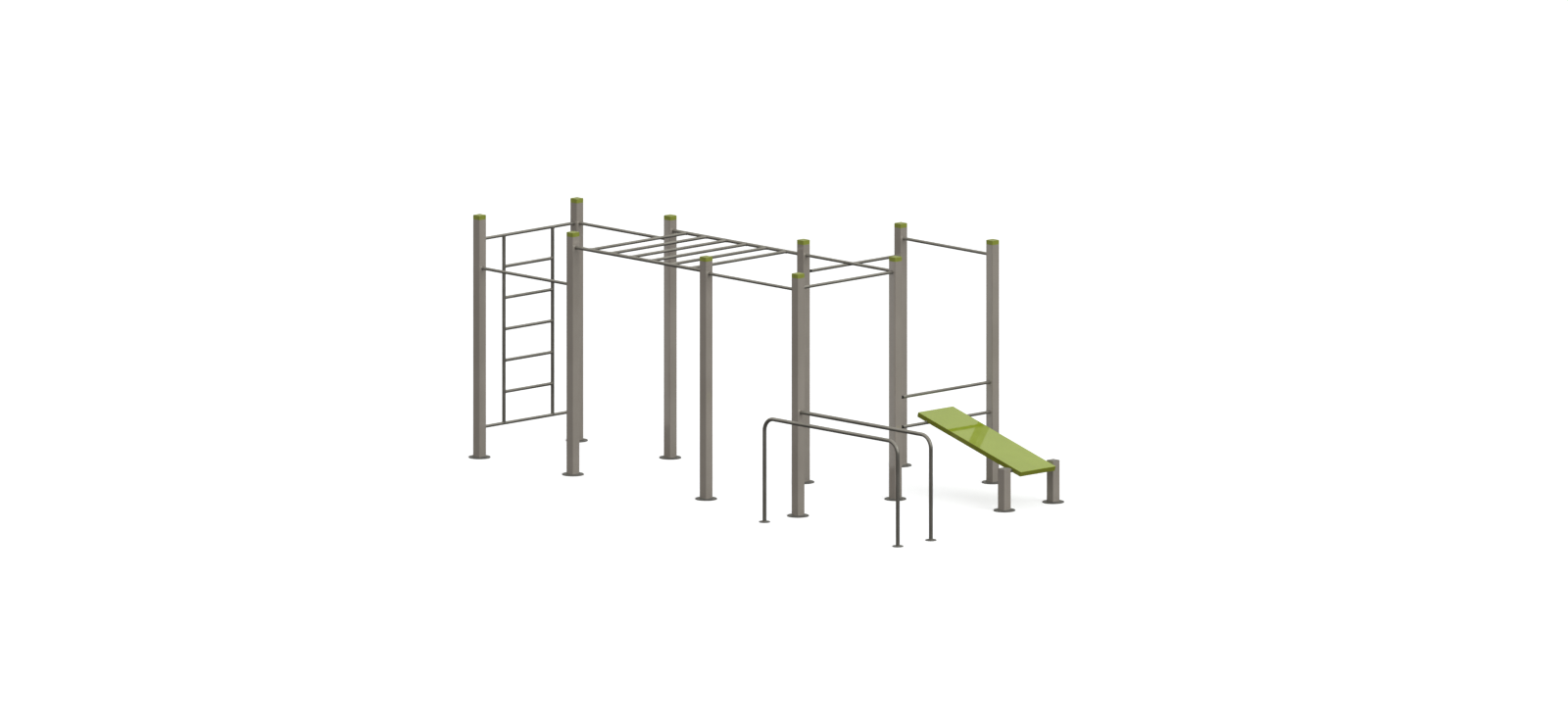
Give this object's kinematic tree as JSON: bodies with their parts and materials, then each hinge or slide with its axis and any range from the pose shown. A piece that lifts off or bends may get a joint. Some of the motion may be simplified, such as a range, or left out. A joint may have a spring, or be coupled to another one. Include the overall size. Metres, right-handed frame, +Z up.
{
  "type": "monkey bars",
  "caption": "Outdoor climbing and pull-up frame: square posts on round base plates joined by round bars, with an overhead ladder, a wall ladder, parallel dip bars and a sloping sit-up bench.",
  "frame": {"origin": "on the ground, under the middle of the object's box", "axes": "+Z up; +X along the rows of posts, from the wall ladder towards the dip bars and the bench; +Y from the front row of posts to the back row"},
  "size_m": [7.1465, 3.5913, 2.64],
  "materials": {
    "post_paint": "warm grey powder coat, semi-gloss",
    "plate_paint": "grey powder coat, satin",
    "bar_steel": "satin round tube, grey",
    "cap_green": "moulded green plastic",
    "deck_green": "green powder coat, gloss",
    "spigot_black": "black paint",
    "clamp_zinc": "zinc plated steel"
  },
  "bodies": {
    "root": {"post_01": "post_paint", "post_02": "post_paint", "post_03": "post_paint", "post_04": "post_paint", "post_05": "post_paint", "post_06": "post_paint", "post_07": "post_paint", "post_08": "post_paint", "post_09": "post_paint", "post_10": "post_paint", "base_plate_01": "plate_paint", "base_plate_02": "plate_paint", "base_plate_03": "plate_paint", "base_plate_04": "plate_paint", "base_plate_05": "plate_paint", "base_plate_06": "plate_paint", "base_plate_07": "plate_paint", "base_plate_08": "plate_paint", "base_plate_09": "plate_paint", "base_plate_10": "plate_paint", "post_caps": "cap_green", "short_post_1": "post_paint", "short_post_2": "post_paint", "short_post_lids": "post_paint", "short_base_plates": "plate_paint", "ladder_bottom_bar": "bar_steel", "ladder_top_bar": "bar_steel", "ladder_stile_1": "bar_steel", "ladder_stile_2": "bar_steel", "ladder_rung_1": "bar_steel", "ladder_rung_2": "bar_steel", "ladder_rung_3": "bar_steel", "ladder_rung_4": "bar_steel", "ladder_rung_5": "bar_steel", "monkey_rail_1": "bar_steel", "monkey_rail_2": "bar_steel", "monkey_rung_1": "bar_steel", "monkey_rung_2": "bar_steel", "monkey_rung_3": "bar_steel", "monkey_rung_4": "bar_steel", "monkey_rung_5": "bar_steel", "monkey_rung_6": "bar_steel", "front_low_bar": "bar_steel", "ladder_link_bar": "bar_steel", "tower_front_bar": "bar_steel", "tower_side_bar": "bar_steel", "tower_middle_bar": "bar_steel", "back_low_bar": "bar_steel", "back_high_bar": "bar_steel", "foot_hook_bar": "bar_steel", "bench_rest_bar": "bar_steel", "dip_bar_post": "bar_steel", "dip_bar_free": "bar_steel", "bench_cross_tube": "bar_steel", "dip_foot_plates": "plate_paint", "bar_spigots": "spigot_black", "bench_deck": "deck_green", "bench_saddles": "clamp_zinc", "bench_straps": "clamp_zinc", "bench_screws": "clamp_zinc"}
  },
  "joints": []
}
